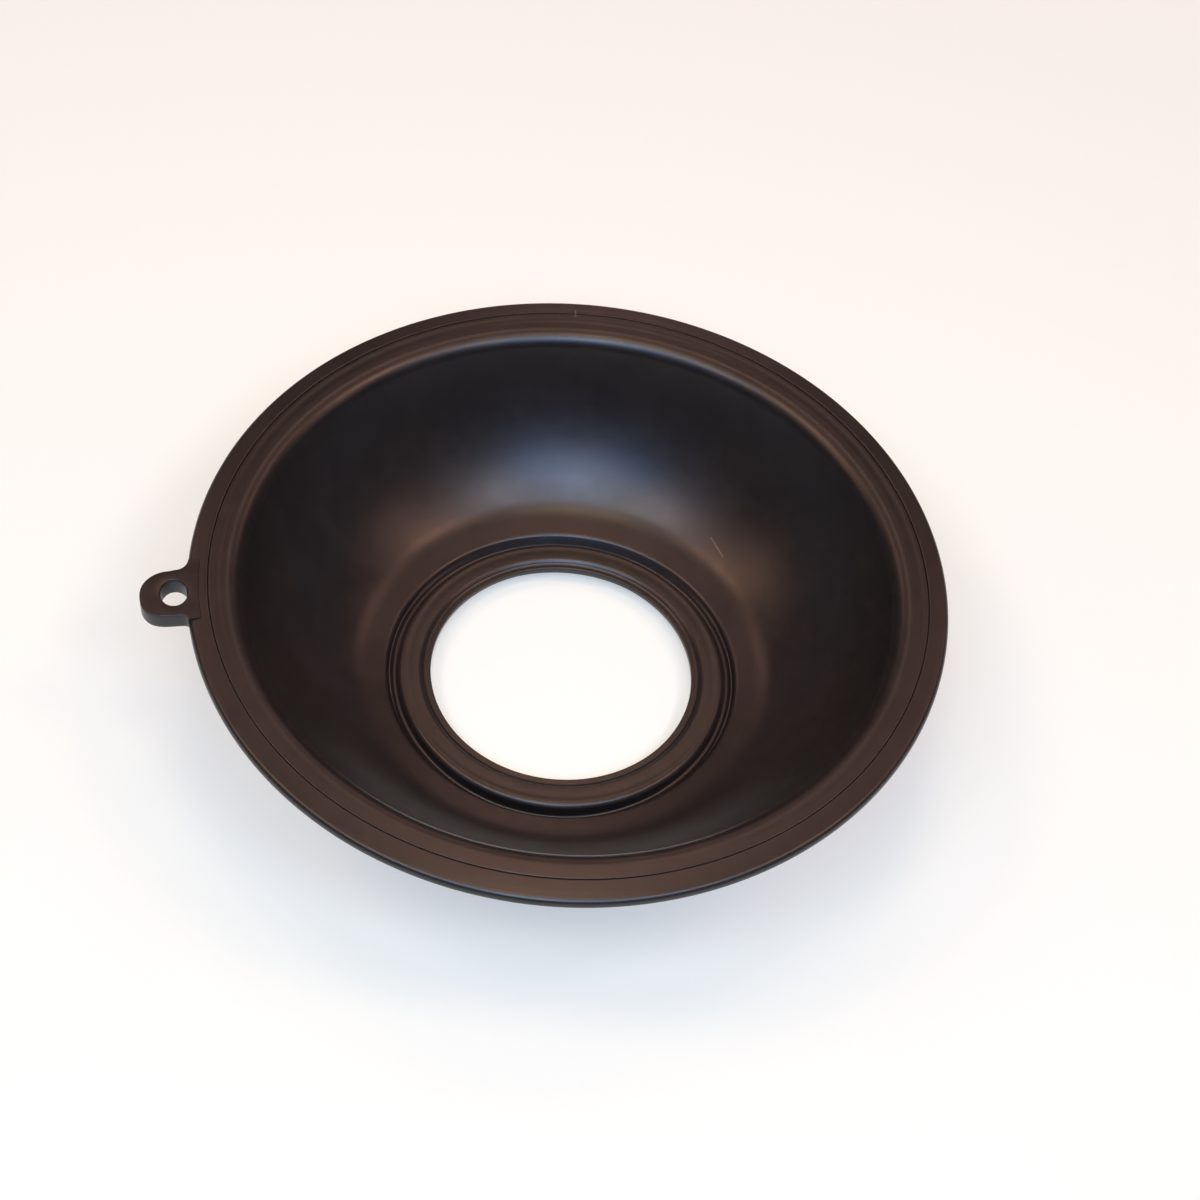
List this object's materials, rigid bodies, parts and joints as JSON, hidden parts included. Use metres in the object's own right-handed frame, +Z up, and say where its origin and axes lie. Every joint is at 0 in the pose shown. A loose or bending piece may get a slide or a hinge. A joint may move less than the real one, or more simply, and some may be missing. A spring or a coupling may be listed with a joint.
{
  "type": "carburettor slide diaphragm",
  "caption": "Round moulded rubber diaphragm: flat clamping flange with a locating ear, a deep dished membrane and a beaded ring round the central opening.",
  "frame": {"origin": "middle of the bounding box at its lowest face, the underside of the inner bead; the axis of the turned form is 2.16 mm towards +X from it", "axes": "+Z up along the axis of the turned form, towards the flange's top face; the locating ear points along -X"},
  "size_m": [0.0764, 0.072, 0.0184],
  "materials": {
    "rubber": "satin black moulded rubber"
  },
  "bodies": {
    "root": {"diaphragm": "rubber"}
  },
  "joints": []
}
